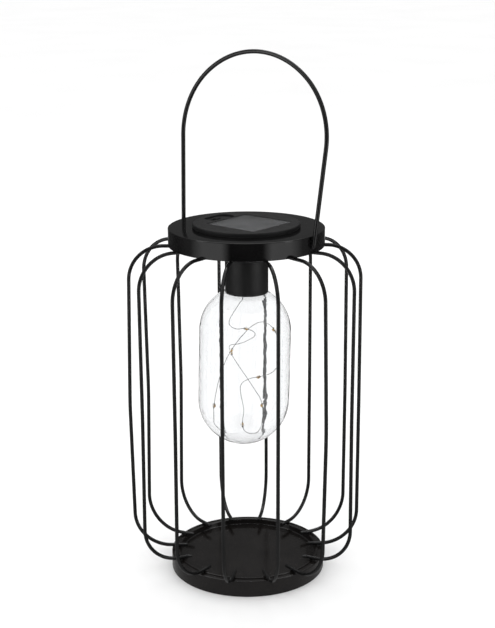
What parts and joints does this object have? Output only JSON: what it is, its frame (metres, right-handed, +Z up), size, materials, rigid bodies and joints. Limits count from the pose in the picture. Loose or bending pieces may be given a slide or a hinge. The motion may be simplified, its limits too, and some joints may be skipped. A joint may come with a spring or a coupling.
{
  "type": "solar lantern",
  "caption": "Hanging solar lantern: round wire cage between a pan cap and a base tray, swinging bail handle, lift-out solar module with a clear bulb of fairy lights.",
  "frame": {"origin": "centre of the base tray's bottom rim, on the surface that the lantern stands on", "axes": "+Z up through the cap; X along the handle's pivot axis, with the switch on the -X side of the solar panel; Y across it"},
  "size_m": [0.1711, 0.1691, 0.3876],
  "materials": {
    "painted_steel": "semi-gloss black powder coat",
    "black_plastic": "fine-grained satin",
    "black_foam": "closed-cell foam",
    "clear_adhesive": "adhesive film",
    "panel_laminate": "dark laminate",
    "solar_cell": "dark polycrystalline",
    "clear_resin": "gloss, clear epoxy",
    "switch_plastic": "satin",
    "plated_steel": "nickel plated",
    "battery_sleeve": "shrink sleeve",
    "circuit_laminate": "green solder mask",
    "component_plastic": "moulded",
    "lead_insulation": "insulated lead",
    "clear_glass": "clear, polished",
    "black_rubber": "moulded",
    "silvered_wire": "silvered copper",
    "bead_resin": "clear resin drop"
  },
  "bodies": {
    "lantern_frame": {"top_cap": "painted_steel", "base_ring": "painted_steel", "base_floor": "painted_steel", "cage_wire_01": "painted_steel", "cage_wire_02": "painted_steel", "cage_wire_03": "painted_steel", "cage_wire_04": "painted_steel", "cage_wire_05": "painted_steel", "cage_wire_06": "painted_steel", "cage_wire_07": "painted_steel", "cage_wire_08": "painted_steel", "cage_wire_09": "painted_steel", "cage_wire_10": "painted_steel", "cage_wire_11": "painted_steel", "cage_wire_12": "painted_steel", "cage_wire_13": "painted_steel", "cage_wire_14": "painted_steel", "cap_welds": "painted_steel", "base_welds": "painted_steel"},
    "bail": {"handle": "painted_steel"},
    "solar_module": {"solar_housing": "black_plastic", "gasket": "black_foam", "panel_adhesive": "clear_adhesive", "panel_board": "panel_laminate", "solar_cells": "solar_cell", "panel_cover": "clear_resin", "switch_body": "plated_steel", "module_base": "black_plastic", "housing_screws": "plated_steel", "battery": "battery_sleeve", "battery_contacts": "plated_steel", "battery_spring": "plated_steel", "circuit_board": "circuit_laminate", "board_components": "component_plastic", "panel_leads": "lead_insulation", "battery_leads": "lead_insulation", "led_leads": "lead_insulation", "socket_sleeve": "black_plastic", "bulb_holder": "black_plastic", "bulb_glass": "clear_glass", "string_stopper": "black_rubber", "string_wire": "silvered_wire", "led_beads": "bead_resin"},
    "switch_slider": {"switch_knob": "switch_plastic"}
  },
  "joints": [
    {"name": "handle_swing", "type": "hinge", "parent": "lantern_frame", "child": "bail", "pos_m": [0, 0, 0.2555], "axis": [1, 0, 0], "range_deg": [-98, 105]},
    {"name": "module_lift", "type": "slide", "parent": "lantern_frame", "child": "solar_module", "axis": [0, 0, 1], "range_m": [0, 0.09]},
    {"name": "switch_slide", "type": "slide", "parent": "solar_module", "child": "switch_slider", "axis": [-0.0523, -0.9986, 0], "range_m": [0, 0.004]}
  ]
}
